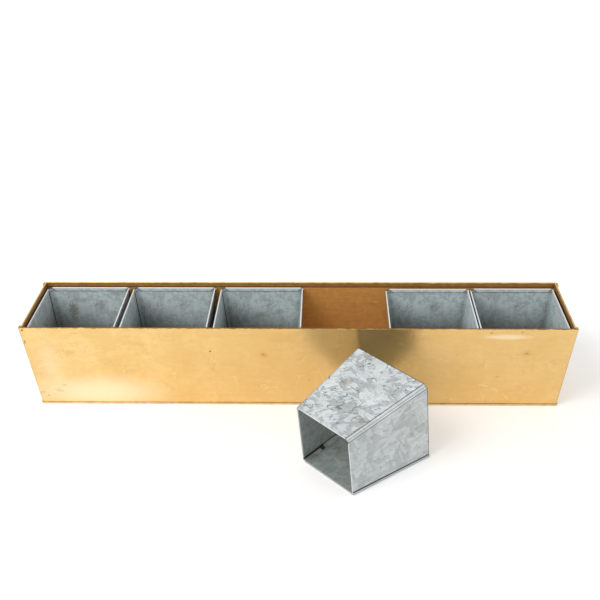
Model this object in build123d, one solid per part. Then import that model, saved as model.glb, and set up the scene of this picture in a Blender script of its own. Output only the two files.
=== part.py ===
from build123d import *
from math import acos, asin, atan, cos, degrees, hypot, pi, sin, sqrt
import os

# Indoor herb planter: a long flared brass trough and a row of tapered zinc liners that lift out of it.
# Units are millimetres. The origin is the middle of the trough's underside, +X runs along the trough,
# +Y to its back and +Z up. One liner has been taken out and lies on its back wall in front.

# Zinc liner, a four-walled tapered sleeve, open at the rim and at the foot
liner_rim_width = 100.0     # across two opposite walls at the rim
liner_foot_width = 76.0     # across two opposite walls at the foot
liner_height = 105.0
zinc_sheet = 0.5
liner_rim_hem = 4.3         # depth of the hem turned in round the rim
liner_foot_hem = 2.0        # depth of the hem turned in round the foot
rim_hem_gap = 0.5           # space left between the two layers of each hem
foot_hem_gap = 0.15
hem_end_gap = 0.3           # from a hem's end to the corner seam
liner_bend_flats = 8        # flats that stand for the half turn of each small bend on a liner

# Corner seams of a liner. Seen from above, the left and right walls fold over a bevel at the back left
# and front right corners. The front and back walls lap round the other two corners, which are nearly sharp.
bevel_leg_foot = 3.0        # each leg of the bevel, at the foot
bevel_leg_rim = 3.6         # and at the rim
lap_leg = 0.8               # the same on a lapped corner
seam_gap = 0.2              # between two sheets that lie on each other in a seam
lip_length = 1.2            # lip of a lapped corner, on the next wall
bead_radius = 0.5           # rolled edge of that lip
seam_slot_length = 33.0     # stretch at the foot where the bevel is open inside

# Brass trough
brass_sheet = 0.9
brass_fold_gap = 0.2
trough_hem = 5.5            # depth of the hem turned in round the rim
rim_drop = 5.6              # from the trough's rim down to the liners' rims
end_lean_share = 0.73       # lean of the end walls, as a share of the liners' taper
flange_width = 7.0          # flange of the long walls, folded round on to the end walls
flange_gap = 0.4            # from that flange to the end wall
flange_bend = 2.0           # outside radius of the bend into the flange
wall_end_gap = 0.2          # from an end wall's edge to the hem of a long wall
pan_lip = 2.2               # height of the floor pan's upturned lip
pan_gap = 0.3               # from the lip to the walls that stand in it

# Room for the liners, and where each one stands
running_gap = 0.3           # least gap between a liner's seam and anything beside it
liner_play = 5.5            # spare length for the whole row
liner_side_play = 3.2       # spare width, front to back
slide_shares = (-0.12, 0.43, 1.21, 0.0, 0.24, 0.12)     # of the spare length, slid to the right
forward_shares = (0.0, 0.0, 0.0, 0.0, 1.0, 0.65)        # of the spare width, away from the back
loose_liner = 4             # the liner that lies in front, counted from the left
loose_foot_x = 35.2         # middle of its foot, on the surface
loose_front_gap = 132.9     # from the trough's front lower edge to that place
loose_turn = 43.8           # degrees from +X to its axis, foot to rim

# Worked out from the sizes above
overrun = zinc_sheet        # how far a cutter passes what it cuts, and a fold passes into its wall
liner_count = len(slide_shares)
bead_proud = seam_gap + 2 * bead_radius
hem_step = brass_sheet + brass_fold_gap
pair_gap = bead_proud + running_gap
stand_off = bead_proud + hem_step + running_gap
liner_slope = (liner_rim_width - liner_foot_width) / 2 / liner_height
liner_rim_z = brass_sheet + liner_height
trough_height = liner_rim_z + rim_drop
end_slope = end_lean_share * liner_slope
bay_length = liner_count * liner_rim_width + (liner_count - 1) * pair_gap + 2 * stand_off + liner_play
bay_width = liner_rim_width + 2 * stand_off + liner_side_play
flange_proud = flange_gap + 2 * brass_sheet + brass_fold_gap


def level(sheet, slope):
    """Thickness of a leaning sheet, measured level."""
    return sheet * hypot(1, slope)


def inner_half_length(z):
    """From the middle of the trough to the inside of an end wall, at a height."""
    return bay_length / 2 + end_slope * (z - liner_rim_z)


def inner_half_width(z):
    """From the middle of the trough to the inside of a long wall, at a height."""
    return bay_width / 2 + liner_slope * (z - liner_rim_z)


def liner_half(z):
    """From a liner's axis to the outside of a wall, at a height above its foot."""
    return liner_foot_width / 2 + liner_slope * z


def sheet_between(section, low, high):
    """Leaning sheet whose level section is given as a function of height."""
    return loft([Pos(0, 0, low) * section(low), Pos(0, 0, high) * section(high)], ruled=True)


def half_turn(radius, way, flats):
    """Half turn from (radius, 0) to (-radius, 0): an arc, or on small bends that are often repeated, flats."""
    if not flats:
        return ThreePointArc((radius, 0), (0, way * radius), (-radius, 0))
    angles = [pi * step / flats for step in range(flats + 1)]
    return Polyline(*[(radius * cos(angle), way * radius * sin(angle)) for angle in angles])


def fold(half, slope, sheet, gap, depth, z, length, way, flats=0):
    """Hem along a leaning wall whose outside is at -half(z): the bend, the inner layer and a root in the wall.

    z is the height of the bend's axis, and way is 1 for a hem at the top edge and -1 at the bottom edge.
    """
    radius = sheet + gap / 2
    lean = hypot(1, slope)
    profile = Polyline(
        (radius, 0), (radius, -way * (depth - radius)), (gap / 2, -way * (depth - radius)), (gap / 2, 0)
    )
    profile += Line((gap / 2, 0), (-gap / 2, 0)) if flats else half_turn(gap / 2, way, flats)
    profile += Polyline((-gap / 2, 0), (-gap / 2, -way * overrun), (-radius, -way * overrun), (-radius, 0))
    profile += half_turn(radius, way, flats)
    across = Plane(origin=(0, radius * lean - half(z), z), x_dir=(0, 1, slope), z_dir=(1, 0, 0))
    return extrude(across * make_face(profile), amount=length / 2, both=True)


# Liner wall, drawn as the front wall. Seen from above, its -X end wraps over the tongue of the next wall,
# and its own tongue at the +X end lies inside the wrap of the wall before it.

def bevel_leg(z):
    return bevel_leg_foot + (bevel_leg_rim - bevel_leg_foot) * z / liner_height


def corner_legs(z, wide):
    """Legs of the corners at the wrap and at the tongue: a front or back wall is wide, a side wall isn't."""
    return (lap_leg, bevel_leg(z)) if wide else (bevel_leg(z), lap_leg)


def raw_edge_proud():
    """How far the plain edge of a bevel's wrap stands over the wall that it ends on."""
    return seam_gap + level(zinc_sheet, liner_slope) / sqrt(2)


def liner_wall_section(z, wide):
    half = liner_half(z)
    sheet = level(zinc_sheet, liner_slope)
    root_two = sqrt(2)
    wrap_leg, tongue_leg = corner_legs(z, wide)
    wrap_end = wrap_leg + bead_proud + lip_length
    bead_start = -acos((sheet - bead_radius) / bead_radius)
    bead_flats = 3 * liner_bend_flats // 2
    tongue_out = tongue_leg + (sheet + seam_gap) * root_two
    tongue_in = tongue_leg - sheet + (2 * sheet + seam_gap) * root_two

    # Places are (distance past the corner, distance in from the outside face) at each end, and the bead
    # is turned from the lip's outer face, over its crown, to its inner face
    def wrap(past, inward):
        return (-half - past, -half + inward)

    def tongue(short, inward):
        return (half - short, -half + inward)

    def bead(step):
        angle = bead_start + (pi - bead_start) * step / bead_flats
        return wrap(seam_gap + bead_radius * (1 + cos(angle)), wrap_end + bead_radius * sin(angle))

    if wide:
        edge = [wrap(seam_gap + sheet, wrap_leg + seam_gap + sheet)]
        edge += [bead(step) for step in range(bead_flats + 1)]
    else:
        edge = [wrap(raw_edge_proud(), wrap_leg + raw_edge_proud())]
    outline = Polyline(
        wrap(seam_gap, wrap_leg + seam_gap + sheet * root_two),
        wrap(-wrap_leg - sheet * root_two + sheet, sheet),
        tongue(tongue_in, sheet),
        tongue(sheet + seam_gap, tongue_in - seam_gap),
        tongue(sheet + seam_gap, tongue_out - sheet - seam_gap),
        tongue(tongue_out, 0),
        wrap(-wrap_leg, 0),
        *edge,
        close=True,
    )
    return make_face(outline)


def seam_slot():
    """Round-ended cutter that opens the tongue under a bevel near the foot, seen from inside the liner."""
    sheet = level(zinc_sheet, liner_slope)
    tongue_width = bevel_leg(seam_slot_length) + (2 * sheet + seam_gap) * sqrt(2)
    end_z = seam_slot_length - tongue_width / 2
    lean = Plane(origin=(liner_half(end_z), -liner_half(end_z), end_z), x_dir=(-1, -1, 0), z_dir=(-1, 1, 0))
    depth = 3 * tongue_width
    slot = extrude(lean * RegularPolygon(tongue_width / 2 + overrun, 2 * liner_bend_flats), amount=depth)
    slot += extrude(
        lean * Pos(0, -seam_slot_length / 2) * Rectangle(tongue_width + 2 * overrun, seam_slot_length), amount=depth
    )
    keep = Pos(0, 0, end_z) * Box(
        2 * (liner_half(end_z) - tongue_width), 2 * liner_rim_width, 4 * seam_slot_length
    )
    return slot - keep


def liner_hem(wide, gap, depth, top):
    """Hem at the rim or at the foot, which stops short of the seams at its two ends."""
    sheet = level(zinc_sheet, liner_slope)
    inner_z = liner_height - depth if top else 0
    axis_z = liner_height - zinc_sheet - gap / 2 if top else zinc_sheet + gap / 2
    seam = (2 * sheet + seam_gap) * sqrt(2) - sheet + hem_end_gap
    wrap_room, tongue_room = [leg + seam for leg in corner_legs(axis_z, wide)]
    length = 2 * liner_half(inner_z) - wrap_room - tongue_room
    hem = fold(
        liner_half, liner_slope, zinc_sheet, gap, depth, axis_z, length, 1 if top else -1, liner_bend_flats
    )
    return Pos((wrap_room - tongue_room) / 2, 0, 0) * hem


def liner_wall(wide):
    low = zinc_sheet + foot_hem_gap / 2
    high = liner_height - zinc_sheet - rim_hem_gap / 2
    wall = sheet_between(lambda z: liner_wall_section(z, wide), low, high)
    if wide:
        wall -= seam_slot()
    wall += liner_hem(wide, rim_hem_gap, liner_rim_hem, True)
    wall += liner_hem(wide, foot_hem_gap, liner_foot_hem, False)
    return wall


# Trough

def long_wall_section(z):
    """Front wall with its two flanges, each folded double round the end wall."""
    sheet = level(brass_sheet, liner_slope)
    side = level(brass_sheet, end_slope)
    face_y = -inner_half_width(z) - sheet
    edge_x = inner_half_length(z) + side + flange_proud
    inner_x = edge_x - 2 * brass_sheet - brass_fold_gap
    slot_x = edge_x - brass_sheet - brass_fold_gap
    flange_y = face_y + flange_width
    return_y = face_y + flange_bend + wall_end_gap
    half = Polyline(
        (0, face_y),
        (edge_x, face_y),
        (edge_x, flange_y),
        (inner_x, flange_y),
        (inner_x, return_y),
        (slot_x, return_y),
        (slot_x, flange_y - brass_sheet),
        (edge_x - brass_sheet, flange_y - brass_sheet),
        (edge_x - brass_sheet, face_y + sheet),
        (0, face_y + sheet),
        (0, face_y),
    )
    right = make_face(half)
    outer_bend = right.vertices().sort_by_distance((edge_x, face_y))[0]
    right = fillet(outer_bend, flange_bend)
    inner_bend = right.vertices().sort_by_distance((edge_x - brass_sheet, face_y + sheet))[0]
    right = fillet(inner_bend, flange_bend - brass_sheet)
    turn = right.vertices().sort_by_distance((edge_x, flange_y))[0]
    right = fillet(turn, brass_sheet)
    turn = right.vertices().sort_by_distance((inner_x, flange_y))[0]
    right = fillet(turn, brass_sheet)
    return (right + mirror(right, Plane.YZ)).face()


def long_wall():
    radius = brass_sheet + brass_fold_gap / 2
    high = trough_height - radius
    wall = sheet_between(long_wall_section, brass_sheet, high)
    side = level(brass_sheet, end_slope)
    length = 2 * (inner_half_length(trough_height - trough_hem) + side)
    outside = lambda z: inner_half_width(z) + level(brass_sheet, liner_slope)
    return wall + fold(outside, liner_slope, brass_sheet, brass_fold_gap, trough_hem, high, length, 1)


def end_wall_section(z):
    side = level(brass_sheet, end_slope)
    half = inner_half_width(z) - hem_step - wall_end_gap
    return Pos(0, -inner_half_length(z) - side / 2) * Rectangle(2 * half, side)


def end_wall():
    """End wall drawn as a front wall, to be turned a quarter turn."""
    radius = brass_sheet + brass_fold_gap / 2
    high = trough_height - radius
    wall = sheet_between(end_wall_section, brass_sheet, high)
    length = 2 * (inner_half_width(trough_height - trough_hem) - hem_step - wall_end_gap)
    outside = lambda z: inner_half_length(z) + level(brass_sheet, end_slope)
    return wall + fold(outside, end_slope, brass_sheet, brass_fold_gap, trough_hem, high, length, 1)


def pan_outline(z, past):
    """Outline of the walls at a height, with room outside them."""
    half_x = inner_half_length(z) + level(brass_sheet, end_slope) + flange_proud + past
    half_y = inner_half_width(z) + level(brass_sheet, liner_slope) + past
    return RectangleRounded(2 * half_x, 2 * half_y, flange_bend + past)


def floor_pan():
    outer = sheet_between(lambda z: pan_outline(z, pan_gap + brass_sheet), 0, pan_lip)
    inner = sheet_between(lambda z: pan_outline(z, pan_gap), brass_sheet, pan_lip + overrun)
    return outer - inner


# Where the liners are

def bay_x(number):
    """Middle of a liner's even place in the row, counted from the left."""
    spare = liner_play / (liner_count + 1)
    first = -bay_length / 2 + stand_off + spare + liner_rim_width / 2
    return first + (number - 1) * (liner_rim_width + pair_gap + spare)


def standing_place(number):
    x = bay_x(number) + slide_shares[number - 1] * liner_play
    y = bay_width / 2 - stand_off - liner_rim_width / 2 - forward_shares[number - 1] * liner_side_play
    return Location((x, y, brass_sheet))


def lying_place():
    """On its back wall, foot towards the viewer, rocked about the raw seam edge under its left side."""
    lean = degrees(atan(liner_slope))
    drop = raw_edge_proud() / hypot(1, liner_slope)
    reach = raw_edge_proud() + bevel_leg_foot
    spread = liner_half(liner_height) - bevel_leg_rim - liner_half(0) + bevel_leg_foot
    edge_turn = degrees(atan(spread / (liner_height * hypot(1, liner_slope))))
    rock = degrees(asin(drop / (liner_rim_width - lap_leg - bevel_leg_rim - raw_edge_proud())))
    front_y = -inner_half_width(0) - level(brass_sheet, liner_slope) - pan_gap - brass_sheet
    place = Location((loose_foot_x, front_y - loose_front_gap, drop), (0, 0, loose_turn - 90))
    on_back = Rot(-90 + lean, 0, 0) * Pos(0, -liner_half(0), 0)
    to_edge = Pos(reach - liner_half(0), 0, -drop) * Rot(0, 0, edge_turn)
    return place * to_edge * Rot(0, rock, 0) * to_edge.inverse() * on_back


def place_of(number):
    return lying_place() if number == loose_liner else standing_place(number)


# Build and write the parts

def build():
    parts = {"trough_front": long_wall(), "trough_floor_pan": floor_pan()}
    parts["trough_back"] = Rot(0, 0, 180) * long_wall()
    parts["trough_left_end"] = Rot(0, 0, -90) * end_wall()
    parts["trough_right_end"] = Rot(0, 0, 90) * end_wall()
    walls = (liner_wall(True), liner_wall(False))
    for number in range(1, liner_count + 1):
        for turn, side in enumerate(("front", "left", "back", "right")):
            parts[f"liner_{number}_{side}"] = place_of(number) * Rot(0, 0, -90 * turn) * walls[turn % 2]
    return parts


if __name__ == "__main__":
    os.makedirs("parts", exist_ok=True)
    for node, solid in build().items():
        export_step(solid, f"parts/{node}.step")
        print(node, round(solid.volume, 1))
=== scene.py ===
# %% [markdown]
# Indoor herb planter: looks
#
# The planter is a long trough of thin polished brass sheet. A row of tapered, galvanised liners stands in
# it, and one liner has been taken out and lies on the floor in front. Every wall is folded sheet metal at
# its real size, so the shapes come from the frame as they are. What this script adds is light, a camera
# and the finish of each surface. Lengths are in metres, or in millimetres where a comment says so, and +Z
# is up.

# %% Load the frame
import math

import bpy
from mathutils import Matrix, Vector


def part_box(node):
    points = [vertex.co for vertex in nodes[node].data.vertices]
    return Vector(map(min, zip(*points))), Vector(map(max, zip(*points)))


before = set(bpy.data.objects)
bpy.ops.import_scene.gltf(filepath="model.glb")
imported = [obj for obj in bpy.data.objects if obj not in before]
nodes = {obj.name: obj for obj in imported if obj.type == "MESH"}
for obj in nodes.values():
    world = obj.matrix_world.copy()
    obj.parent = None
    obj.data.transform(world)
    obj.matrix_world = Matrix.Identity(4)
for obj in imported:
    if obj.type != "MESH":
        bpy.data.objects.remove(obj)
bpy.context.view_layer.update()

MM = 0.001
bpy.context.scene.view_settings.view_transform = "Standard"
print("pieces in the frame:", len(nodes))

# %% [markdown]
# The camera stands in front of the trough, a little over a metre away, and looks down at 29 degrees. It is
# also turned two degrees to the left and tilted by less than one, as a hand-held camera is. The focal
# length is written for a sensor 36 mm wide. The three turns are put together in the order in which a
# photographer makes them: turn to a side, look down, then tilt.

# %% Camera
CAMERA_PLACE = (0.0349, -0.9470, 0.6420)
LOOK_DOWN = math.radians(28.996)
TURN_LEFT = math.radians(1.920)
TILT = math.radians(-0.822)
LENS = 55.98
SENSOR = 36.0
NEAREST_SEEN = 10 * MM

bpy.ops.object.select_all(action="DESELECT")
bpy.ops.object.camera_add(location=CAMERA_PLACE)
camera = bpy.context.object
camera.name = "camera"
aim = (
    Matrix.Rotation(TURN_LEFT, 3, "Z")
    @ Matrix.Rotation(math.pi / 2 - LOOK_DOWN, 3, "X")
    @ Matrix.Rotation(TILT, 3, "Z")
)
camera.rotation_euler = aim.to_euler()
camera.data.lens = LENS
camera.data.sensor_width = SENSOR
camera.data.clip_start = NEAREST_SEEN
bpy.context.scene.camera = camera
print("camera at", CAMERA_PLACE, "with a lens of", LENS, "mm")

# %% [markdown]
# A surface's finish is a graph of small nodes. Each could be placed and wired by hand in the editor. Here
# one helper adds a node and wires it, a few more stand for the sums that come up often, and a last one
# puts the nodes in columns, so that a finished graph can be read from left to right.

# %% Helpers for nodes
COLUMN_WIDTH = 220
ROW_HEIGHT = 260


def add(tree, kind, inputs=None, **settings):
    """Adds a shader node, sets its plain settings, then sets or links its inputs by name or number."""
    node = tree.nodes.new(kind)
    for name, value in settings.items():
        setattr(node, name, value)
    for name, value in (inputs or {}).items():
        if isinstance(value, bpy.types.NodeSocket):
            tree.links.new(value, node.inputs[name])
        else:
            node.inputs[name].default_value = value
    return node


def math_node(tree, operation, *values):
    """One sum on plain numbers."""
    return add(tree, "ShaderNodeMath", dict(enumerate(values)), operation=operation).outputs[0]


def vector_node(tree, operation, first, second=None):
    """One sum on vectors. The length and the dot product of vectors are plain numbers."""
    inputs = {0: first}
    if second is not None:
        inputs["Scale" if operation == "SCALE" else 1] = second
    made = add(tree, "ShaderNodeVectorMath", inputs, operation=operation).outputs
    return made["Value" if operation in ("LENGTH", "DOT_PRODUCT") else "Vector"]


def spread(tree, value, low, high, start=0.0, end=1.0, clamp=True):
    """Number that goes evenly from low, where the value is at its start, to high, at its end."""
    inputs = {"Value": value, "From Min": start, "From Max": end, "To Min": low, "To Max": high}
    return add(tree, "ShaderNodeMapRange", inputs, clamp=clamp).outputs["Result"]


def lay_out(tree):
    """Puts the nodes in columns, each to the left of every node that it feeds."""
    wires = [(link.from_node.name, link.to_node.name) for link in tree.links]
    column = {node.name: 0 for node in tree.nodes}
    # one round of the wires per node is enough for the longest chain
    for left, right in wires * len(column):
        column[left] = max(column[left], column[right] + 1)
    filled = {}
    for node in tree.nodes:
        number = column[node.name]
        row = filled.get(number, 0)
        node.location = (-COLUMN_WIDTH * number, -ROW_HEIGHT * row)
        filled[number] = row + 1


print("helpers for nodes ready")

# %% [markdown]
# Polished metal shows its surroundings more than its own colour, so the room matters as much as the
# lamps. Here the room is a plain white studio. The world is white for the camera and for mirror-like
# rays, and a little darker for the soft light that it sheds, so that the shadows keep some depth.

# %% Room light
SKY_LIGHT = 0.62
WHITE = (1.0, 1.0, 1.0, 1.0)


def seen_directly(tree):
    """1 for camera, mirror and glass rays, 0 for the rays that carry soft light."""
    path = add(tree, "ShaderNodeLightPath").outputs
    first = math_node(tree, "MAXIMUM", path["Is Camera Ray"], path["Is Glossy Ray"])
    return math_node(tree, "MAXIMUM", first, path["Is Transmission Ray"])


world = bpy.data.worlds.new("studio")
bpy.context.scene.world = world
world.use_nodes = True
room = world.node_tree
sky = room.nodes["Background"]
sky.inputs["Color"].default_value = WHITE
room.links.new(spread(room, seen_directly(room), SKY_LIGHT, 1.0), sky.inputs["Strength"])
lay_out(room)
print("world light", SKY_LIGHT)

# %% [markdown]
# One large soft lamp hangs above and to the left of the camera. Its size is what makes the shadows soft:
# the larger a lamp is, the wider the edge of each shadow.

# %% Lamp
LAMP_PLACE = (-0.85, -0.85, 1.35)
LAMP_SIZE = 1.0
LAMP_POWER = 13.0

bpy.ops.object.light_add(type="AREA", location=LAMP_PLACE)
lamp = bpy.context.object
lamp.name = "soft_lamp"
lamp.data.shape = "DISK"
lamp.data.size = LAMP_SIZE
lamp.data.energy = LAMP_POWER
lamp.rotation_euler = (-Vector(LAMP_PLACE)).to_track_quat("-Z", "Y").to_euler()
print("lamp power", LAMP_POWER, "W")

# %% [markdown]
# The floor is a wide white sheet. It is made of a pale matt surface, which takes the shadows, and for the
# camera a little light of its own is added, so that the lit floor reads as clean white. Far from the
# planter the lamp is weaker, so the floor's own light grows with the distance.

# %% Floor
FLOOR_SIZE = 12.0
FLOOR_COLOUR = (0.88, 0.88, 0.875, 1.0)
FLOOR_ROUGHNESS = 0.9
FLOOR_SHINE = 0.2
FLOOR_LIFT = 0.3
FAR_FLOOR_LIFT = 0.8
LIFT_FROM = 0.36
LIFT_TO = 0.85

bpy.ops.mesh.primitive_plane_add(size=FLOOR_SIZE, location=(0, 0, 0))
floor = bpy.context.object
floor.name = "floor"

floor_finish = bpy.data.materials.new("white floor")
floor_finish.use_nodes = True
tree = floor_finish.node_tree
shader = tree.nodes["Principled BSDF"]
shader.inputs["Base Color"].default_value = FLOOR_COLOUR
shader.inputs["Roughness"].default_value = FLOOR_ROUGHNESS
shader.inputs["Specular IOR Level"].default_value = FLOOR_SHINE
shader.inputs["Emission Color"].default_value = WHITE
away = vector_node(tree, "LENGTH", add(tree, "ShaderNodeTexCoord").outputs["Object"])
lift = spread(tree, away, FLOOR_LIFT, FAR_FLOOR_LIFT, start=LIFT_FROM, end=LIFT_TO)
glow = math_node(tree, "MULTIPLY", seen_directly(tree), lift)
tree.links.new(glow, shader.inputs["Emission Strength"])
lay_out(tree)
floor.data.materials.append(floor_finish)
print("floor", FLOOR_SIZE, "m wide")

# %% [markdown]
# Between them the two metals need a few effects: soft clouds where polish or coating is uneven, fine lines
# left by the rollers, faint curved marks from wiping, and small spots. Each is a node group with named
# inputs, built once. A group only puts out masks and other plain numbers. What they do to colour or gloss
# is decided later, in the material.

# %% Helpers for groups
VECTORS = ("Place", "Stretch", "Centre", "Turn", "Size")


def new_group(name, inputs, outputs):
    """Empty shader node group whose inputs are numbers, apart from the vectors."""
    group = bpy.data.node_groups.new(name, "ShaderNodeTree")
    for socket, value in inputs.items():
        kind = "NodeSocketVector" if socket in VECTORS else "NodeSocketFloat"
        made = group.interface.new_socket(name=socket, in_out="INPUT", socket_type=kind)
        if value is not None:
            made.default_value = value
    for socket in outputs:
        group.interface.new_socket(name=socket, in_out="OUTPUT", socket_type="NodeSocketFloat")
    return group, add(group, "NodeGroupInput").outputs


def close_group(group, results):
    """Links the results to the group's outputs of the same names."""
    add(group, "NodeGroupOutput", results)
    lay_out(group)
    print("group", group.name, "puts out", len(results))


def use(tree, group, **inputs):
    """Places a group in a graph. An input's own name starts with a capital."""
    return add(tree, "ShaderNodeGroup", inputs, node_tree=group).outputs


# %% [markdown]
# The groups share some steps of their own. A ramp turns any number into a mask. Noise runs around one
# half, so one half is taken off where it has to push both ways. And a place that a noise has pushed aside
# a little bends whatever is drawn on it, as nothing rubbed or grown is quite straight.

# %% Steps that the groups share
HALF = 0.5


def noise(tree, place, scale, detail=3.0, rough=0.5, distortion=0.0):
    """Smooth noise, which has a number under Fac and a colour under Color."""
    inputs = {"Vector": place, "Scale": scale, "Detail": detail, "Roughness": rough}
    return add(tree, "ShaderNodeTexNoise", {**inputs, "Distortion": distortion}).outputs


def uneven(tree, place, scale, detail=3.0, rough=0.5, distortion=0.0):
    """Noise that runs around zero."""
    made = noise(tree, place, scale, detail, rough, distortion)
    return math_node(tree, "SUBTRACT", made["Fac"], HALF)


def cells_of(tree, place, scale, **settings):
    """Voronoi cells: the nearest cell's distance, position and random colour."""
    return add(tree, "ShaderNodeTexVoronoi", {"Vector": place, "Scale": scale}, **settings).outputs


def parts_of(tree, colour):
    """The three numbers of a colour."""
    return add(tree, "ShaderNodeSeparateColor", {0: colour}).outputs


def ramp(tree, value, low, high):
    """Mask that goes smoothly from 0 at low to 1 at high. High may be the smaller of the two."""
    inputs = {"Value": value, "From Min": low, "From Max": high}
    return add(tree, "ShaderNodeMapRange", inputs, interpolation_type="SMOOTHSTEP").outputs["Result"]


def both(tree, *masks):
    """Product of several masks: 1 where all of them are 1."""
    result = masks[0]
    for mask in masks[1:]:
        result = math_node(tree, "MULTIPLY", result, mask)
    return result


def band(tree, value, low, high, soft):
    """Mask that is 1 from low to high and falls to 0 over the soft length on each side."""
    return both(tree, ramp(tree, value, low - soft, low), ramp(tree, value, high + soft, high))


def bent_place(tree, place, scale, reach):
    """The place, pushed aside by a noise, by up to about half the reach."""
    wobble = noise(tree, place, scale, detail=2.0)["Color"]
    push = vector_node(tree, "SUBTRACT", wobble, (HALF, HALF, HALF))
    return vector_node(tree, "ADD", place, vector_node(tree, "SCALE", push, reach))


def own_frame(tree, place, centre=(0, 0, 0), turn=(0, 0, 0), size=(1, 1, 1)):
    """The place as it is in a frame with this centre, turn and size."""
    inputs = {"Vector": place, "Location": centre, "Rotation": turn, "Scale": size}
    return add(tree, "ShaderNodeMapping", inputs, vector_type="TEXTURE").outputs["Vector"]


print("helpers for groups ready")

# %% [markdown]
# Clouds: one broad drift and one finer one. Both are noise, pushed towards light and dark by a ramp.

# %% Clouds
FINER = 4.5

clouds, entry = new_group("clouds", {"Place": None, "Scale": 20.0}, ["Broad", "Fine"])
finer_scale = math_node(clouds, "MULTIPLY", entry["Scale"], FINER)
broad = noise(clouds, entry["Place"], entry["Scale"], detail=3.0, rough=0.5, distortion=0.6)["Fac"]
fine = noise(clouds, entry["Place"], finer_scale, detail=5.0, rough=0.6, distortion=0.3)["Fac"]
close_group(clouds, {
    "Broad": ramp(clouds, broad, low=0.32, high=0.68),
    "Fine": ramp(clouds, fine, low=0.3, high=0.7),
})

# %% [markdown]
# Roller lines: noise that is stretched along the sheet, so that each grain of it becomes a long thin line.
# The stretch is a vector, because the lines run along X on the long walls and along Y on the ends. The
# place is bent a little first, and the bend is given in millimetres.

# %% Roller lines
LINE_BEND_SCALE = 16.0

lines, entry = new_group(
    "roller lines", {"Place": None, "Stretch": (12.0, 700.0, 700.0), "Bend": 2.0}, ["Lines"]
)
reach = math_node(lines, "MULTIPLY", entry["Bend"], MM)
bent = bent_place(lines, entry["Place"], LINE_BEND_SCALE, reach)
drawn = vector_node(lines, "MULTIPLY", bent, entry["Stretch"])
streak = noise(lines, drawn, 1.0, detail=4.0, rough=0.6)["Fac"]
close_group(lines, {"Lines": ramp(lines, streak, low=0.3, high=0.7)})

# %% [markdown]
# Wiping marks: the narrow band where a smooth noise is near one half is a long wandering curve, like the
# trace of a cloth. A second noise breaks the curves up, so that they come and go.

# %% Wiping marks
BREAK_SCALE = 45.0

wiping, entry = new_group("wiping marks", {"Place": None, "Scale": 22.0, "Width": 0.012}, ["Marks"])
curve = uneven(wiping, entry["Place"], entry["Scale"], detail=1.5, rough=0.4, distortion=0.8)
from_curve = math_node(wiping, "DIVIDE", math_node(wiping, "ABSOLUTE", curve), entry["Width"])
trace = ramp(wiping, from_curve, low=1.0, high=0.0)
breaker = noise(wiping, entry["Place"], BREAK_SCALE, detail=2.0)["Fac"]
close_group(wiping, {"Marks": both(wiping, trace, ramp(wiping, breaker, low=0.45, high=0.65))})

# %% [markdown]
# Specks: cells of a Voronoi pattern, of which only some are used. A cell's own random colour says whether
# it holds a speck and how large that is, and the distance to the cell's middle gives it its round shape.

# %% Specks
SPECK_CORE = 0.55

specks, entry = new_group(
    "specks", {"Place": None, "Scale": 90.0, "Share": 0.1, "Radius": 0.1}, ["Specks"]
)
cells = cells_of(specks, entry["Place"], entry["Scale"])
pick = parts_of(specks, cells["Color"])
chosen = math_node(specks, "LESS_THAN", pick["Red"], entry["Share"])
size = math_node(specks, "MULTIPLY", entry["Radius"], pick["Green"])
near = math_node(specks, "DIVIDE", cells["Distance"], size)
dot = ramp(specks, near, low=1.0, high=SPECK_CORE)
close_group(specks, {"Specks": both(specks, dot, chosen)})

# %% [markdown]
# A listed mark, such as one scratch or one stain: an oval with a centre, a turn and three half sizes. The
# Mapping node takes the place back to the oval's own frame, where its edge is at distance 1. A little
# noise makes the edge uneven.

# %% One mark
EDGE_SCALE = 500.0

oval_inputs = {"Place": None, "Centre": (0, 0, 0), "Turn": (0, 0, 0), "Size": (MM, MM, MM)}
oval, entry = new_group("oval mark", {**oval_inputs, "Ragged": 0.3, "Core": 0.3}, ["Mark"])
local = own_frame(oval, entry["Place"], entry["Centre"], entry["Turn"], entry["Size"])
ragged = math_node(oval, "MULTIPLY", uneven(oval, entry["Place"], EDGE_SCALE), entry["Ragged"])
from_middle = math_node(oval, "ADD", vector_node(oval, "LENGTH", local), ragged)
close_group(oval, {"Mark": ramp(oval, from_middle, 1.0, entry["Core"])})

# %% [markdown]
# Zinc spangle: when a sheet comes out of the molten zinc, the coating freezes in flat angular shards. The
# cells of a Voronoi pattern have straight sides, as crystals do, and squeezed along a slanting direction
# they become long shards. One direction alone would look combed, so there are two sets, which slant
# differently, and each covers its own patches of the sheet. Every shard gets a painted highlight on one
# side, as if lit from that side, and a thin dark line runs along some of the sides.

# %% Shards of the spangle
SHARD_SLANT = 0.6
SHARD_LENGTH = 2.4
TOWARDS_LIT_SIDE = (0.6, -0.6, 0.5)
SIDE_EDGE = 0.11
SIDE_CORE = 0.03
SHARD_BEND_SCALE = 260.0
SHARD_BEND = 3 * MM

spangle, entry = new_group(
    "zinc spangle", {"Place": None, "Scale": 170.0, "Feather": 1.0, "Amount": 0.5},
    ["Dark", "Pale", "Tone", "Painted lit side", "Edge"],
)
reach = math_node(spangle, "MULTIPLY", entry["Feather"], SHARD_BEND)
bent = bent_place(spangle, entry["Place"], SHARD_BEND_SCALE, reach)


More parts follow.
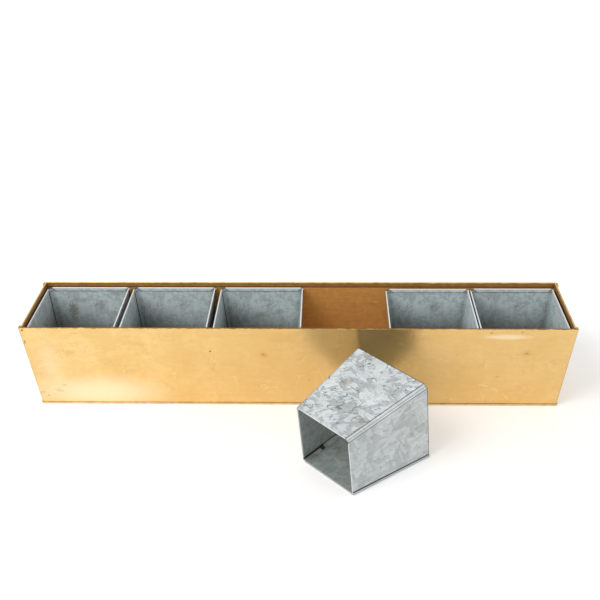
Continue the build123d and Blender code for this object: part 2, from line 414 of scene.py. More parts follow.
def shards(turn, metric):
    """One set of long cells: a random tone for each, a mask of their sides, and the way across a cell
    towards its painted lit side.
    """
    slanted = own_frame(spangle, bent, turn=(turn, turn, turn), size=(1 / SHARD_LENGTH, 1.0, 1.0))
    nearest = cells_of(spangle, slanted, entry["Scale"], distance=metric)
    second = cells_of(spangle, slanted, entry["Scale"], distance=metric, feature="F2")
    from_side = math_node(spangle, "SUBTRACT", second["Distance"], nearest["Distance"])
    from_cell = vector_node(spangle, "SUBTRACT", slanted, nearest["Position"])
    tone = parts_of(spangle, nearest["Color"])["Red"]
    side = ramp(spangle, from_side, SIDE_EDGE, SIDE_CORE)
    return tone, side, vector_node(spangle, "DOT_PRODUCT", from_cell, TOWARDS_LIT_SIDE)


print("shards", SHARD_LENGTH, "times as long as they are wide")

# %% [markdown]
# A third, coarser Voronoi pattern gives the patches. It also lends each patch a tone of its own. Where the
# sum of tones is high a shard is dark, where it is low a shard is pale, and a slow noise gathers the dark
# ones in groups, as on real sheet.

# %% Spangle
PATCH_SCALE = 0.5
SHARD_SHARE = 0.65
GATHER_SCALE = 30.0
GATHER_STRENGTH = 1.1
BREAK_SIDES_SCALE = 150.0
LIT_SIDE_WIDTH = 1.0 * MM


def one_of(choice, first, second):
    """The second value where the choice is 1, and the first elsewhere."""
    return add(spangle, "ShaderNodeMix", {0: choice, 2: first, 3: second}).outputs[0]


patch_scale = math_node(spangle, "MULTIPLY", entry["Scale"], PATCH_SCALE)
patch = parts_of(spangle, cells_of(spangle, bent, patch_scale)["Color"])
choice = math_node(spangle, "GREATER_THAN", patch["Green"], HALF)
two_sets = zip(shards(SHARD_SLANT, "EUCLIDEAN"), shards(-2 * SHARD_SLANT, "MANHATTAN"))
shard_tone, sides, across = [one_of(choice, first, second) for first, second in two_sets]
part_shard = math_node(spangle, "MULTIPLY", shard_tone, SHARD_SHARE)
part_patch = math_node(spangle, "MULTIPLY", patch["Red"], 1 - SHARD_SHARE)
tone = math_node(spangle, "ADD", part_shard, part_patch)
gather = uneven(spangle, entry["Place"], GATHER_SCALE, detail=3.0, rough=0.55, distortion=0.4)
sum_tone = math_node(spangle, "ADD", tone, math_node(spangle, "MULTIPLY", gather, GATHER_STRENGTH))
limit = math_node(spangle, "SUBTRACT", 1.0, entry["Amount"])
over = math_node(spangle, "SUBTRACT", sum_tone, limit)
broken = noise(spangle, entry["Place"], BREAK_SIDES_SCALE, detail=2.0)["Fac"]
close_group(spangle, {
    "Dark": ramp(spangle, over, low=0.0, high=0.04),
    "Pale": ramp(spangle, over, low=-0.3, high=-0.36),
    "Tone": tone,
    "Painted lit side": ramp(spangle, across, -LIT_SIDE_WIDTH, LIT_SIDE_WIDTH),
    "Edge": both(spangle, sides, ramp(spangle, broken, low=0.46, high=0.56)),
})

# %% [markdown]
# The brass. Its own colour is warm gold. Long use has left a thin brown tarnish along the folded edges,
# and a few stains. The inside of the trough was never polished, so it is duller and browner. The inside
# of the end walls is painted nearly black, as painted shade for the narrow gap beside the liners. Two
# small helpers mix the colour towards another one wherever a mask is white: one for a single tint, and
# one for a list of tints that lie over one another.

# %% Colour helpers and brass colours
BRASS = (0.92, 0.645, 0.275, 1.0)
BRASS_PALE = (0.97, 0.74, 0.38, 1.0)
BRASS_OCHRE = (0.79, 0.515, 0.19, 1.0)
BRASS_DULL = (0.66, 0.40, 0.14, 1.0)
# colour of the painted highlights on the brass front
BRASS_PAINTED_HIGHLIGHT = (1.0, 0.85, 0.60, 1.0)
BRASS_INSIDE = (0.83, 0.44, 0.13, 1.0)
BRASS_STREAK = (0.50, 0.24, 0.06, 1.0)
# painted shade: the inside of the end walls is nearly black, for the dark gap beside the liners
END_INSIDE_SHADE = (0.15, 0.08, 0.03, 1.0)
BRASS_PAN = (0.86, 0.68, 0.42, 1.0)
HEM_GOLD = (0.44, 0.22, 0.06, 1.0)
HEM_BROWN = (0.12, 0.07, 0.025, 1.0)
# brown tarnish, also used for the painted shade under the hem
TARNISH_AND_SHADE = (0.16, 0.075, 0.02, 1.0)
SHINE_OF_DIRT = 0.15


def toward(tree, base, tint, mask, amount=1.0, blend="MIX"):
    """Mixes base towards the tint where the mask is white, by at most the amount."""
    if amount < 1.0:
        mask = math_node(tree, "MULTIPLY", mask, amount)
    inputs = {0: mask, 6: base, 7: tint}
    return add(tree, "ShaderNodeMix", inputs, data_type="RGBA", blend_type=blend).outputs[2]


def lay_over(tree, colour, layers):
    """Lays tints over a colour, one after another. Each is given with its mask and its strength."""
    for tint, mask, amount in layers:
        colour = toward(tree, colour, tint, mask, amount)
    return colour


def new_metal(name):
    """Metal material: itself, its nodes, its shader and the place on the object."""
    material = bpy.data.materials.new(name)
    material.use_nodes = True
    shader = material.node_tree.nodes["Principled BSDF"]
    shader.inputs["Metallic"].default_value = 1.0
    shader.inputs["Specular IOR Level"].default_value = SHINE_OF_DIRT
    place = add(material.node_tree, "ShaderNodeTexCoord").outputs["Object"]
    return material, material.node_tree, shader, place


def finish_metal(tree, shader, inputs, height, strength, distance):
    """Links what changes over the surface to the shader, with a height map as its fine relief."""
    relief = add(tree, "ShaderNodeBump", {"Height": height, "Strength": strength, "Distance": distance})
    tree.links.new(relief.outputs["Normal"], shader.inputs["Normal"])
    for name, value in inputs.items():
        tree.links.new(value, shader.inputs[name])
    lay_out(tree)


print("brass colour", BRASS[:3])

# %% [markdown]
# Where a point lies decides its wear, and where shade is painted. This group measures how far a point is
# inside the walls, and how near it is to the rim and to the two long ends, all from the flare of the
# trough. The hem that is folded in at the rim has its own mask, because its inner side is never polished
# and stays dark. The narrow band just under the hem, inside, gets painted shade.

# %% Place on the trough
RIM_Z = 111.5 * MM
HALF_LENGTH_AT_RIM = 312.8 * MM
HALF_LENGTH_AT_FOOT = 303.4 * MM
HALF_WIDTH_AT_RIM = 55.75 * MM
HALF_WIDTH_AT_FOOT = 43.0 * MM
TROUGH_HEM = 5.5 * MM
FLANGE_PROUD = 2.4 * MM
WORN_EDGE = 3 * MM
WORN_EDGE_SCALE = 90.0
# each pair is where a mask is 0 and where it is 1
WALL_SKIN = (0.1 * MM, 0.5 * MM)
HEM_SKIN = (1.0 * MM, 1.4 * MM)
HEM_END = (TROUGH_HEM + 0.4 * MM, TROUGH_HEM - 0.2 * MM)
RIM_BAND = (1.1 * MM, 0.3 * MM)
END_BAND = (2.4 * MM, 0.2 * MM)
UNDER_HEM = 1.4 * MM
UNDER_HEM_SOFT = 0.5 * MM

on_trough, entry = new_group(
    "place on the trough", {"Place": None}, ["Inside", "Rim", "Hem", "Under hem", "Ends"]
)
axis = add(on_trough, "ShaderNodeSeparateXYZ", {0: entry["Place"]}).outputs
wear = uneven(on_trough, entry["Place"], WORN_EDGE_SCALE, detail=3.0, rough=0.6)
ragged = math_node(on_trough, "MULTIPLY", wear, WORN_EDGE)


def from_wall(direction, at_foot, at_rim):
    """How far a point lies from the outermost face on its side, along X or Y."""
    half = spread(on_trough, axis["Z"], at_foot, at_rim, end=RIM_Z, clamp=False)
    return math_node(on_trough, "SUBTRACT", half, math_node(on_trough, "ABSOLUTE", axis[direction]))


to_side = from_wall("Y", HALF_WIDTH_AT_FOOT, HALF_WIDTH_AT_RIM)
to_end = from_wall("X", HALF_LENGTH_AT_FOOT, HALF_LENGTH_AT_RIM)
depth = math_node(on_trough, "MINIMUM", to_side, math_node(on_trough, "SUBTRACT", to_end, FLANGE_PROUD))
from_rim = math_node(on_trough, "SUBTRACT", RIM_Z, axis["Z"])
inside = ramp(on_trough, depth, *WALL_SKIN)
hem_side = ramp(on_trough, depth, *HEM_SKIN)
hem_height = ramp(on_trough, from_rim, *HEM_END)
under = band(on_trough, from_rim, TROUGH_HEM, TROUGH_HEM + UNDER_HEM, UNDER_HEM_SOFT)
worn_rim = math_node(on_trough, "ADD", from_rim, ragged)
worn_end = math_node(on_trough, "ADD", to_end, ragged)
close_group(on_trough, {
    "Inside": inside,
    "Rim": ramp(on_trough, worn_rim, *RIM_BAND),
    "Hem": both(on_trough, hem_side, hem_height),
    "Under hem": both(on_trough, inside, under),
    "Ends": ramp(on_trough, worn_end, *END_BAND),
})

# %% [markdown]
# The marks that someone would notice on the front are written as a short list: where each is along the
# wall and above the floor, how long and high it is, its turn and its colour. They are broad tones, of
# which the largest is painted shade over the middle and right of the wall, painted highlights, stains and
# scratches of one trough. A pattern would spread them evenly, so they are placed one by one.

# %% Front marks
BROWN = (0.33, 0.19, 0.06, 1.0)
WARM_BROWN = (0.62, 0.34, 0.09, 1.0)
BRIGHT = (1.0, 0.86, 0.58, 1.0)
WALL_Y = 50.0 * MM
MARK_DEPTH = 60.0 * MM
FRONT_SHADE_AND_TONES = (
    # x, z, half length and half height in mm, turn in degrees, colour, strength, core
    # the first tone is painted shade: it darkens the middle and right of the wall
    (110, 50, 330, 220, 0, BRASS_DULL, 0.5, 0.3),
    (-20, 104, 40, 7, 0, BRASS_DULL, 0.3, 0.0),
)
FRONT_PAINTED_HIGHLIGHTS = (
    # painted highlights, in the same columns, laid over the haze
    (-235, 18, 110, 34, 0, BRASS_PAINTED_HIGHLIGHT, 0.75, 0.1),
    (-285, 60, 22, 60, 5, BRASS_PAINTED_HIGHLIGHT, 0.3, 0.0),
    (235, 100.5, 36, 5.0, 0, BRASS_PAINTED_HIGHLIGHT, 0.6, 0.2),
)
FRONT_MARKS = (
    # the same, laid over the painted highlights
    (-98, 79, 1.6, 1.2, 0, TARNISH_AND_SHADE, 0.95, 0.6),
    (-37, 74, 9.0, 6.5, 20, WARM_BROWN, 0.5, 0.0),
    (-38, 75, 3.0, 2.2, 20, BROWN, 0.5, 0.0),
    (260, 77, 9.5, 6.5, 0, WARM_BROWN, 0.5, 0.0),
    (259, 77, 3.2, 2.2, 0, BROWN, 0.5, 0.0),
    (-180, 90, 16, 9, 20, WARM_BROWN, 0.22, 0.0),
    (-72, 60, 22, 14, 30, WARM_BROWN, 0.16, 0.0),
    (-20, 96, 26, 9, 10, WARM_BROWN, 0.22, 0.0),
    (230, 43, 3.4, 0.55, 28, BROWN, 0.8, 0.3),
    (-308, 108, 1.6, 1.6, 0, TARNISH_AND_SHADE, 0.9, 0.4),
    (-308, 91, 1.6, 4.0, 0, BROWN, 0.75, 0.3),
    (-300, 17, 3.4, 0.8, 0, BROWN, 0.6, 0.3),
    (-294, 12, 2.2, 1.6, 0, BROWN, 0.5, 0.2),
    (-273, 28, 5.0, 2.6, 10, BROWN, 0.28, 0.0),
    (-280, 20, 9.0, 3.5, 15, WARM_BROWN, 0.4, 0.0),
    (217, 106, 2.6, 1.1, 0, BROWN, 0.7, 0.3),
    (251, 107, 1.8, 1.1, 0, BROWN, 0.7, 0.3),
    (-250, 104, 6.0, 1.0, 8, BROWN, 0.35, 0.2),
    (215.5, 30, 8.0, 0.55, 15, BRIGHT, 0.7, 0.2),
    (229.5, 24, 7.5, 0.55, 32, BRIGHT, 0.7, 0.2),
    (242.5, 13, 9.0, 0.55, 52, BRIGHT, 0.6, 0.2),
)
BACK_MARKS = (
    # the same, on the back wall
    (94, 85.5, 5.5, 0.55, -8, BRIGHT, 0.7, 0.3),
    (60, 92, 9.0, 0.45, 5, BRIGHT, 0.25, 0.2),
)
print("marks on the front:", len(FRONT_SHADE_AND_TONES + FRONT_PAINTED_HIGHLIGHTS + FRONT_MARKS))
print("marks on the back:", len(BACK_MARKS))


def put_marks(tree, place, colour, marks, wall_y, ragged):
    """Lays a list of marks over a colour, one after another."""
    for x, z, long, high, turn, tint, amount, core in marks:
        spot = use(
            tree, oval, Place=place, Centre=(x * MM, wall_y, z * MM), Turn=(0, math.radians(turn), 0),
            Size=(long * MM, MARK_DEPTH, high * MM), Ragged=ragged, Core=core,
        )
        colour = toward(tree, colour, tint, spot["Mark"], amount)
    return colour


# %% [markdown]
# One function finishes every brass wall. It starts from the plain brass with its broad tones and painted
# shade, lays the broad effects over it, then the painted highlights, the inside of the trough, the marks,
# and last the folded edges, with painted shade under the hem. The front has a brown rim, and on the back
# and the ends the rim is bare gold. Roller lines follow the long side of a wall.

# %% Brass walls
EVEN_EDGE = 0.12
RAGGED_EDGE = 0.7
ALONG_X = ((9.0, 800.0, 800.0), (18.0, 380.0, 380.0))
ALONG_Y = ((800.0, 9.0, 800.0), (380.0, 18.0, 380.0))
BRASS_METALLIC = 0.88
DULL_METALLIC = 0.4
BRASS_ROUGHNESS = (0.19, 0.27)
ROUGHER_INSIDE = 0.16
CLOUD_RELIEF = 3.0
BRASS_BUMP = 0.12
BRASS_RELIEF = 0.05 * MM


def brass_finish(name, along, rim, rim_amount, hem, inner, tones=(), highlights=(), marks=(), wall_y=-WALL_Y):
    """Brass with fine and broad roller lines along one axis, and marks of three kinds on one long wall."""
    material, tree, shader, place = new_metal(name)
    cloud = use(tree, clouds, Place=place, Scale=9.0)
    haze = use(tree, clouds, Place=place, Scale=34.0)
    roller = use(tree, lines, Place=place, Stretch=along[0], Bend=6.0)
    brushed = use(tree, lines, Place=place, Stretch=along[1], Bend=14.0)
    wiped = use(tree, wiping, Place=place, Scale=30.0, Width=0.012)
    swirl = use(tree, wiping, Place=place, Scale=55.0, Width=0.03)
    speck = use(tree, specks, Place=place, Scale=75.0, Share=0.035, Radius=0.16)
    where = use(tree, on_trough, Place=place)
    inside = where["Inside"]
    colour = put_marks(tree, place, BRASS, tones, wall_y, EVEN_EDGE)
    colour = lay_over(tree, colour, (
        # tint, mask, strength
        (BRASS_PALE, cloud["Broad"], 0.28),
        (BRASS_OCHRE, haze["Broad"], 0.6),
        (BRASS_DULL, haze["Fine"], 0.16),
        (BRASS_DULL, brushed["Lines"], 0.15),
        (BRASS_OCHRE, roller["Lines"], 0.3),
        (BRASS_PALE, wiped["Marks"], 0.4),
        (BRASS_DULL, swirl["Marks"], 0.3),
    ))
    colour = put_marks(tree, place, colour, highlights, wall_y, EVEN_EDGE)
    colour = lay_over(tree, colour, (
        # the inside colour; on the end walls it is painted shade
        (inner, inside, 1.0),
        (BRASS_STREAK, both(tree, inside, ramp(tree, brushed["Lines"], low=0.3, high=0.75)), 0.16),
        (BRASS_STREAK, both(tree, inside, haze["Fine"]), 0.3),
        (BRASS_OCHRE, both(tree, inside, swirl["Marks"]), 0.5),
    ))
    colour = put_marks(tree, place, colour, marks, wall_y, RAGGED_EDGE)
    colour = lay_over(tree, colour, (
        (TARNISH_AND_SHADE, speck["Specks"], 0.6),
        (toward(tree, hem, TARNISH_AND_SHADE, haze["Fine"], 0.45), where["Hem"], 0.9),
        # painted shade in the band under the hem
        (TARNISH_AND_SHADE, where["Under hem"], 0.75),
        (rim, where["Rim"], rim_amount),
        (TARNISH_AND_SHADE, where["Ends"], 0.3),
    ))
    gloss = spread(tree, haze["Fine"], *BRASS_ROUGHNESS)
    waves = math_node(tree, "MULTIPLY", cloud["Fine"], CLOUD_RELIEF)
    height = math_node(tree, "ADD", roller["Lines"], waves)
    surface = {
        "Base Color": colour,
        "Metallic": spread(tree, inside, BRASS_METALLIC, DULL_METALLIC),
        "Roughness": math_node(tree, "MULTIPLY_ADD", inside, ROUGHER_INSIDE, gloss),
    }
    finish_metal(tree, shader, surface, height, BRASS_BUMP, BRASS_RELIEF)
    return material


front_brass = brass_finish(
    "front brass", ALONG_X, TARNISH_AND_SHADE, 0.85, HEM_BROWN, BRASS_INSIDE,
    tones=FRONT_SHADE_AND_TONES, highlights=FRONT_PAINTED_HIGHLIGHTS, marks=FRONT_MARKS,
)
long_brass = brass_finish(
    "long brass", ALONG_X, BRASS, 0.9, HEM_GOLD, BRASS_INSIDE, marks=BACK_MARKS, wall_y=WALL_Y
)
end_brass = brass_finish("end brass", ALONG_Y, BRASS, 0.6, HEM_GOLD, END_INSIDE_SHADE)
print("brass finishes:", front_brass.name, long_brass.name, end_brass.name)

# %% [markdown]
# The floor pan lies in the dark under the liners, and at rest it shows only in the empty bay. It needs a
# pale, dull brass with some brown cloud, and none of the marks of the walls.

# %% Floor pan
PAN_ROUGHNESS = 0.45
PAN_CLOUDS = 0.3

pan_brass, tree, shader, place = new_metal("pan brass")
pan_cloud = use(tree, clouds, Place=place, Scale=34.0)
pan_colour = toward(tree, BRASS_PAN, BRASS_STREAK, pan_cloud["Fine"], PAN_CLOUDS)
tree.links.new(pan_colour, shader.inputs["Base Color"])
shader.inputs["Metallic"].default_value = DULL_METALLIC
shader.inputs["Roughness"].default_value = PAN_ROUGHNESS
lay_out(tree)
print("floor pan finish:", pan_brass.name)

# %% [markdown]
# The six liners are alike, but each has its own place, and the loose one lies on its back. A finish that
# follows folds and seams has to know them in the liner's own frame: its axis upright, its foot at zero.
# The standing liners' places are read from the frame. The loose one is laid back by the lean of its wall,
# rocked a third of a degree by the seam under its left side, and turned on the floor.

# %% Where each liner is
LINERS = range(1, 7)
LINER_HEIGHT = 105 * MM
FOOT_HALF = 38 * MM
RIM_HALF = 50 * MM
SIDES = ("front", "left", "back", "right")
LOOSE = 4
LOOSE_FOOT = Vector((32.256, -180.232, 38.110)) * MM
LOOSE_TURN = math.radians(43.8 - 90)
LOOSE_ROCK = math.radians(0.336)
LEAN = math.atan((RIM_HALF - FOOT_HALF) / LINER_HEIGHT)


def liner_place(number):
    """Place and turn of a liner's own frame, as the Mapping node takes them."""
    if number == LOOSE:
        turn = Matrix.Rotation(LOOSE_TURN, 3, "Z") @ Matrix.Rotation(LOOSE_ROCK, 3, "Y")
        turn = turn @ Matrix.Rotation(LEAN - math.pi / 2, 3, "X")
        return tuple(LOOSE_FOOT), tuple(turn.to_euler())
    corners = [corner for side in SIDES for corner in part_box(f"liner_{number}_{side}")]
    low = Vector(min(corner[axis] for corner in corners) for axis in range(3))
    high = Vector(max(corner[axis] for corner in corners) for axis in range(3))
    middle = (low + high) / 2
    return (middle.x, middle.y, low.z), (0, 0, 0)


for number in LINERS:
    foot = liner_place(number)[0]
    print("liner", number, "has its foot at", [round(value / MM, 1) for value in foot])

# %% [markdown]
# The corners of a liner are of two kinds, which alternate. At two of them the front or back wall ends in a
# narrow bevelled strip, and at the other two a folded lip with a rolled bead laps round. This step works
# out, at each point, how far it lies inside the outer face, how far from the corner, and on which kind of
# corner and wall. A point belongs to the nearest corner, so the signs of X and Y tell the kind.

# %% Distances on a liner
BEVEL_FOOT = 3.0 * MM
BEVEL_RIM = 3.6 * MM
LAP_LEG = 0.8 * MM
SKIN = 0.2 * MM
FULL_SKIN = 0.4 * MM

on_liner, entry = new_group(
    "place on a liner", {"Place": None, "Tilt": 0.0},
    ["Inside", "Deep", "Crest", "Foot crest", "Foot lip", "Hem", "Under hem", "Corner top", "Mitre",
     "Bevel", "Middle", "Raw edge", "Fold", "Lip", "Bead", "Crack", "Lap fold", "Slot", "Tongue end",
     "Corner"],
)
axis = add(on_liner, "ShaderNodeSeparateXYZ", {0: entry["Place"]}).outputs


def sum_of(operation, *values):
    """One sum in the group for liners."""
    return math_node(on_liner, operation, *values)


def along_height(at_foot, at_rim):
    """Length that grows evenly from the foot to the rim."""
    return spread(on_liner, axis["Z"], at_foot, at_rim, end=LINER_HEIGHT, clamp=False)


half = along_height(FOOT_HALF, RIM_HALF)
in_x = sum_of("SUBTRACT", half, sum_of("ABSOLUTE", axis["X"]))
in_y = sum_of("SUBTRACT", half, sum_of("ABSOLUTE", axis["Y"]))
wide_face = sum_of("LESS_THAN", in_y, in_x)
side_face = sum_of("LESS_THAN", in_x, in_y)
product = sum_of("MULTIPLY", axis["X"], axis["Y"])
lapped = sum_of("GREATER_THAN", product, 0.0)
bevelled = sum_of("LESS_THAN", product, 0.0)
more_leg = sum_of("SUBTRACT", along_height(BEVEL_FOOT, BEVEL_RIM), LAP_LEG)
leg = sum_of("MULTIPLY_ADD", bevelled, more_leg, LAP_LEG)
into_corner = sum_of("SUBTRACT", sum_of("ADD", in_x, in_y), leg)
from_bevel = sum_of("MULTIPLY", into_corner, math.sqrt(0.5))
depth = sum_of("MINIMUM", sum_of("MINIMUM", in_x, in_y), from_bevel)
outside = ramp(on_liner, depth, FULL_SKIN, SKIN)
inside = ramp(on_liner, depth, SKIN, FULL_SKIN)
along = sum_of("MAXIMUM", in_x, in_y)
past_leg = sum_of("SUBTRACT", along, leg)
from_rim = sum_of("SUBTRACT", LINER_HEIGHT, axis["Z"])
past_mitre = sum_of("SUBTRACT", past_leg, from_rim)
slant = sum_of("SUBTRACT", in_x, in_y)
print("bevel", BEVEL_FOOT / MM, "mm at the foot and", BEVEL_RIM / MM, "mm at the rim")

# %% [markdown]
# Two things need a little more. The shade inside a standing liner lies aslant, because the light comes
# from one side, so the depth of this painted shade is tilted along X. And in a bevelled corner the joint
# stands open near the foot: the gap there gets painted shade, a wedge that widens upwards and ends in a
# round. Only the three liners on the left get the tilt.

# %% Shade and open joint
WEDGE_AT_FOOT = 1.6 * MM
WEDGE_AT_RIM = 4.0 * MM
ROUND_START = 27 * MM
ROUND_FULL = 29 * MM
ROUND_WIDTH = 4.5 * MM

shade_depth = sum_of("SUBTRACT", from_rim, sum_of("MULTIPLY", entry["Tilt"], axis["X"]))
round_end = sum_of("MULTIPLY", ramp(on_liner, axis["Z"], ROUND_START, ROUND_FULL), ROUND_WIDTH)
gap_width = sum_of("ADD", along_height(WEDGE_AT_FOOT, WEDGE_AT_RIM), round_end)
in_gap = sum_of("LESS_THAN", sum_of("ADD", slant, leg), gap_width)
print("dark gap", WEDGE_AT_FOOT / MM, "mm wide at the foot")

# %% [markdown]
# Most masks follow one thing that a tinsmith leaves behind: the crest of the rim, with a painted
# highlight, the line under its hem, with painted shade, the mitres of the hem, which are dark joints, and
# the lip, bead and raw edge of each seam with the crack beside it, where the bead has a painted highlight
# and the rest painted shade. The inner corners get painted shade, and Deep is the painted shade that
# grows deeper inside a liner.

# %% Masks of a liner
HEM = 4.3 * MM
FOOT_HEM = 2.0 * MM
HEM_FADE = 0.3 * MM
LAP_END = 3.7 * MM
SLOT_END = 33 * MM
SLOT_FADE = 0.5 * MM
# where a mask is 0 and where it is 1, in mm
SHADE = (14, 66)
CREST_FROM_RIM = (1.5, 1.0)
CREST_PAST_LEG = (0.2, 1.2)
FOOT_CREST = (0.7, 0.35)
CORNER_FROM_RIM = (1.6, 1.0)
CORNER_PAST_LEG = (1.2, 0.4)
BEVEL_SIDES = (0.6, 0.3)
BEVEL_MIDDLE = (0.75, 0.3)
LAP_FOLD = (2.2, 1.4)
# painted shade in the inner corners
CORNER_SHADE = (9.0, 2.0)
# both ends of a band and its soft edge, in mm
BELOW_HEM = (0.0, 0.8, 0.4)
MITRE = (-0.3, 0.9, 0.4)
RAW_EDGE = (0.45, 1.5, 0.2)
FOLD = (-0.1, 0.6, 0.35)
LIP = (-2.2, -1.3, 0.2)
BEAD = (-1.2, -0.1, 0.1)
CRACK = (0.0, 1.0, 0.25)
SLOT = (0.5, 2.0, 0.1)
TONGUE_END = (0.7, 1.6, 0.3)


def fading(value, low, high):
    """Mask from two lengths in millimetres."""
    return ramp(on_liner, value, low * MM, high * MM)


def stripe(value, low, high, soft, start=0.0):
    """Band from lengths in millimetres, counted from its start."""
    return band(on_liner, value, start + low * MM, start + high * MM, soft * MM)


def where_all(*masks):
    """1 where all the masks are."""
    return both(on_liner, *masks)


bevel_strip = where_all(bevelled, outside, fading(into_corner, *BEVEL_SIDES))
lap_face = where_all(lapped, side_face, outside)
slot_height = ramp(on_liner, axis["Z"], SLOT_END + SLOT_FADE, SLOT_END - SLOT_FADE)
close_group(on_liner, {
    "Inside": inside,
    "Deep": where_all(inside, fading(shade_depth, *SHADE)),
    "Crest": where_all(fading(from_rim, *CREST_FROM_RIM), fading(past_leg, *CREST_PAST_LEG)),
    "Foot crest": fading(axis["Z"], *FOOT_CREST),
    "Foot lip": where_all(inside, ramp(on_liner, axis["Z"], FOOT_HEM, FOOT_HEM - HEM_FADE)),
    "Hem": where_all(inside, ramp(on_liner, from_rim, HEM, HEM - HEM_FADE)),
    "Corner top": where_all(fading(from_rim, *CORNER_FROM_RIM), fading(past_leg, *CORNER_PAST_LEG)),
    "Under hem": where_all(inside, stripe(from_rim, *BELOW_HEM, start=HEM)),
    "Mitre": where_all(
        inside, stripe(past_mitre, *MITRE), ramp(on_liner, from_rim, HEM + HEM_FADE, HEM)
    ),
    "Bevel": bevel_strip,
    "Middle": where_all(bevel_strip, fading(sum_of("ABSOLUTE", slant), *BEVEL_MIDDLE)),
    "Raw edge": where_all(bevelled, wide_face, outside, stripe(past_leg, *RAW_EDGE)),
    "Fold": where_all(bevelled, side_face, outside, stripe(past_leg, *FOLD)),
    "Lip": where_all(lap_face, stripe(along, *LIP, start=LAP_END)),
    "Bead": where_all(lap_face, stripe(along, *BEAD, start=LAP_END)),
    "Crack": where_all(lap_face, stripe(along, *CRACK, start=LAP_END)),
    "Lap fold": where_all(lapped, wide_face, outside, fading(along, *LAP_FOLD)),
    "Slot": where_all(bevelled, inside, stripe(into_corner, *SLOT), slot_height, in_gap),
    "Tongue end": where_all(bevelled, side_face, inside, stripe(past_leg, *TONGUE_END)),
    "Corner": where_all(inside, fading(along, *CORNER_SHADE)),
})

# %% [markdown]
# The zinc. Galvanised sheet is a light, slightly blue grey, with darker crystals and here and there a
# grey-brown blotch. It is duller than plain metal, so it keeps a share of matt reflection, and its inner
# faces get a lighter, bluer copy of its colour, which is painted light: both keep the inside of a liner
# light near the rim. The flat top of the loose liner shows the spangle crisply, so its values differ from
# those of the other walls. One function makes all of them.

# %% Zinc finish
ZINC = (0.70, 0.745, 0.755, 1.0)
# painted light: a lighter, bluer copy of the zinc for the inner faces
ZINC_INSIDE_PAINTED_LIGHT = (0.71, 0.83, 0.84, 1.0)
ZINC_DARK = (0.36, 0.385, 0.385, 1.0)
# pale zinc, also the colour of the painted highlights on crests, bevels and beads
ZINC_BRIGHT = (0.90, 0.92, 0.92, 1.0)
# painted shade under the bead of each lap seam
LIP_SHADE_GREY = (0.17, 0.18, 0.175, 1.0)
DEEP_SHADE = (0.33, 0.32, 0.31, 1.0)
LINE_GREY = (0.12, 0.125, 0.12, 1.0)
# near-black painted shade for gaps, cracks, creases and corners, also the colour of the dark mitre joints
JOINT_AND_SHADE_BLACK = (0.03, 0.03, 0.027, 1.0)
STAIN = (0.29, 0.275, 0.24, 1.0)
SHADE_TILT = 0.3
STAIN_EDGE = 1.6
STAIN_CORE = 0.2
CREST_STRENGTH = 0.9
ZINC_METALLIC = 0.5
ZINC_INSIDE_METALLIC = 0.2
ZINC_ROUGHNESS = (0.38, 0.52)
ZINC_BUMP = 0.15
ZINC_RELIEF = 0.1 * MM
UPRIGHT_STREAKS = (330.0, 330.0, 55.0)
SEAM_MARKS = (
    # mask, colour, strength
    # painted highlights: Bevel, Bead and Foot crest; painted shade: Corner, Lip, Fold, Raw edge, Crack,
    # Under hem, Tongue end, Slot and Corner top; Lap fold is a thin dark line beside the bend; Mitre and
    # Middle are dark joints
    ("Corner", JOINT_AND_SHADE_BLACK, 0.25), ("Bevel", ZINC_BRIGHT, 0.3), ("Middle", LINE_GREY, 0.6),
    ("Lip", LIP_SHADE_GREY, 0.85), ("Lap fold", JOINT_AND_SHADE_BLACK, 0.35), ("Bead", ZINC_BRIGHT, 1.0), ("Fold", JOINT_AND_SHADE_BLACK, 0.6),
    ("Raw edge", JOINT_AND_SHADE_BLACK, 0.9), ("Crack", JOINT_AND_SHADE_BLACK, 0.95), ("Hem", ZINC_BRIGHT, 0.15),
    ("Under hem", JOINT_AND_SHADE_BLACK, 0.55), ("Tongue end", JOINT_AND_SHADE_BLACK, 0.85), ("Foot lip", ZINC_BRIGHT, 0.6),
    ("Slot", JOINT_AND_SHADE_BLACK, 1.0), ("Mitre", JOINT_AND_SHADE_BLACK, 0.75), ("Corner top", JOINT_AND_SHADE_BLACK, 0.8),
    ("Foot crest", ZINC_BRIGHT, 0.5),
)


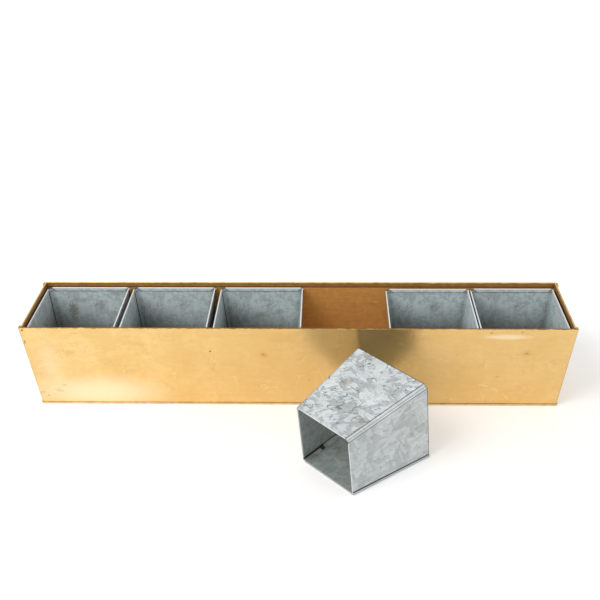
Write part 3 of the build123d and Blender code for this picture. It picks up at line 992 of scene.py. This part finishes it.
def zinc_finish(name, number, scale, feather, amount, strength, sides, streaks,
                deep=1.0, crest=ZINC_BRIGHT, stains=()):
    """Finish of one liner, or of one of its walls. Stains are given in the liner's own frame."""
    material, tree, shader, place = new_metal(name)
    own = own_frame(tree, place, *liner_place(number))
    crystal = use(tree, spangle, Place=own, Scale=scale, Feather=feather, Amount=amount)
    cloud = use(tree, clouds, Place=place, Scale=28.0)
    streak = use(tree, lines, Place=own, Stretch=UPRIGHT_STREAKS, Bend=9.0)
    part = use(tree, on_liner, Place=own, Tilt=SHADE_TILT if number < LOOSE else 0.0)
    colour = lay_over(tree, ZINC, (
        # tint, mask, strength
        # painted light: the inner faces get the lighter copy of the zinc
        (ZINC_INSIDE_PAINTED_LIGHT, part["Inside"], 1.0),
        (ZINC_DARK, crystal["Dark"], strength),
        (ZINC_BRIGHT, crystal["Pale"], 0.5 * strength),
        (ZINC_DARK, crystal["Tone"], 0.4 * strength),
        # painted highlight on one side of each shard
        (ZINC_BRIGHT, crystal["Painted lit side"], 0.2 * strength),
        (LINE_GREY, crystal["Edge"], sides),
        (ZINC_DARK, streak["Lines"], streaks),
        (ZINC_DARK, cloud["Broad"], 0.2),
    ))
    for x, y, z, long, thick, high, tint, stain_strength in stains:
        spot = use(
            tree, oval, Place=own, Centre=(x * MM, y * MM, z * MM),
            Size=(long * MM, thick * MM, high * MM), Ragged=STAIN_EDGE, Core=STAIN_CORE,
        )
        colour = toward(tree, colour, tint, spot["Mark"], stain_strength)
    colour = toward(tree, colour, DEEP_SHADE, part["Deep"], deep, "MULTIPLY")
    colour = lay_over(tree, colour, [(tint, part[mask], seam) for mask, tint, seam in SEAM_MARKS])
    # painted highlight along the crest of the rim; on the loose liner the crest gets painted shade
    colour = toward(tree, colour, crest, part["Crest"], CREST_STRENGTH)
    surface = {
        "Base Color": colour,
        "Metallic": spread(tree, part["Inside"], ZINC_METALLIC, ZINC_INSIDE_METALLIC),
        "Roughness": spread(tree, crystal["Tone"], *ZINC_ROUGHNESS),
    }
    finish_metal(tree, shader, surface, cloud["Fine"], ZINC_BUMP, ZINC_RELIEF)
    return material


print("marks along folds and seams:", len(SEAM_MARKS))

# %% [markdown]
# Each standing liner has stains of its own on its back wall, whose inner side one sees. They are written
# like the marks on the brass, but with a place and half sizes in all three directions, in the liner's own
# frame. The loose liner has a crisp top, with stains and one bright patch of its own, and streaky sides.

# %% Zinc of each liner
STAINS = {
    # x, y, z, half sizes in x, y and z, all in mm, colour, strength
    1: (
        (-22, 45, 76, 9, 20, 15, STAIN, 0.75), (-12, 45, 88, 14, 20, 5, STAIN, 0.4),
        (14, 45, 80, 5, 20, 11, STAIN, 0.45), (34, 45, 97, 11, 20, 5, STAIN, 0.5),
        (28, 45, 70, 9, 20, 6, STAIN, 0.4),
    ),
    2: ((30, 45, 70, 12, 20, 9, STAIN, 0.25),),
    3: (
        (-2, 45, 69, 13, 20, 6, STAIN, 0.45), (22, 45, 74, 7, 20, 5, STAIN, 0.4),
        (4, 45, 88, 9, 20, 4, STAIN, 0.3),
    ),
    5: ((10, 45, 80, 9, 20, 8, STAIN, 0.3),),
    6: ((-14, 45, 74, 12, 20, 9, STAIN, 0.3), (20, 45, 86, 7, 20, 5, STAIN, 0.25)),
}
TOP_STAINS = (
    (-22, -45, 57.5, 9, 20, 12, STAIN, 0.6), (30, -41, 27, 10, 20, 6, STAIN, 0.65),
    (-28, -49, 101, 9, 20, 7, STAIN, 0.35), (17, -45, 57, 20, 20, 17, ZINC_BRIGHT, 0.3),
)
standing_zinc = {
    number: zinc_finish(
        f"zinc of liner {number}", number, scale=130.0, feather=1.0, amount=0.42, strength=0.33,
        sides=0.35, streaks=0.26, stains=stains,
    )
    for number, stains in STAINS.items()
}
# the loose liner's crest gets painted shade rather than a painted highlight
top_zinc = zinc_finish(
    "zinc of the loose top", LOOSE, scale=125.0, feather=0.2, amount=0.40, strength=0.6,
    sides=0.85, streaks=0.03, crest=JOINT_AND_SHADE_BLACK, stains=TOP_STAINS,
)
side_zinc = zinc_finish(
    "zinc of the loose sides", LOOSE, scale=80.0, feather=0.9, amount=0.45, strength=0.34,
    sides=0.32, streaks=0.42, deep=0.5, crest=JOINT_AND_SHADE_BLACK,
)
print("zinc finishes:", len(standing_zinc) + 2)

# %% [markdown]
# Now each piece of the frame gets its finish. The pieces keep their meshes: only the material changes.

# %% Give out the finishes
finishes = {
    "trough_front": front_brass,
    "trough_back": long_brass,
    "trough_floor_pan": pan_brass,
    "trough_left_end": end_brass,
    "trough_right_end": end_brass,
}
for number in LINERS:
    for side in SIDES:
        finishes[f"liner_{number}_{side}"] = standing_zinc.get(number, side_zinc)
finishes[f"liner_{LOOSE}_front"] = top_zinc
for name, piece in nodes.items():
    piece.data.materials.clear()
    piece.data.materials.append(finishes[name])
print("finished pieces:", len(nodes))
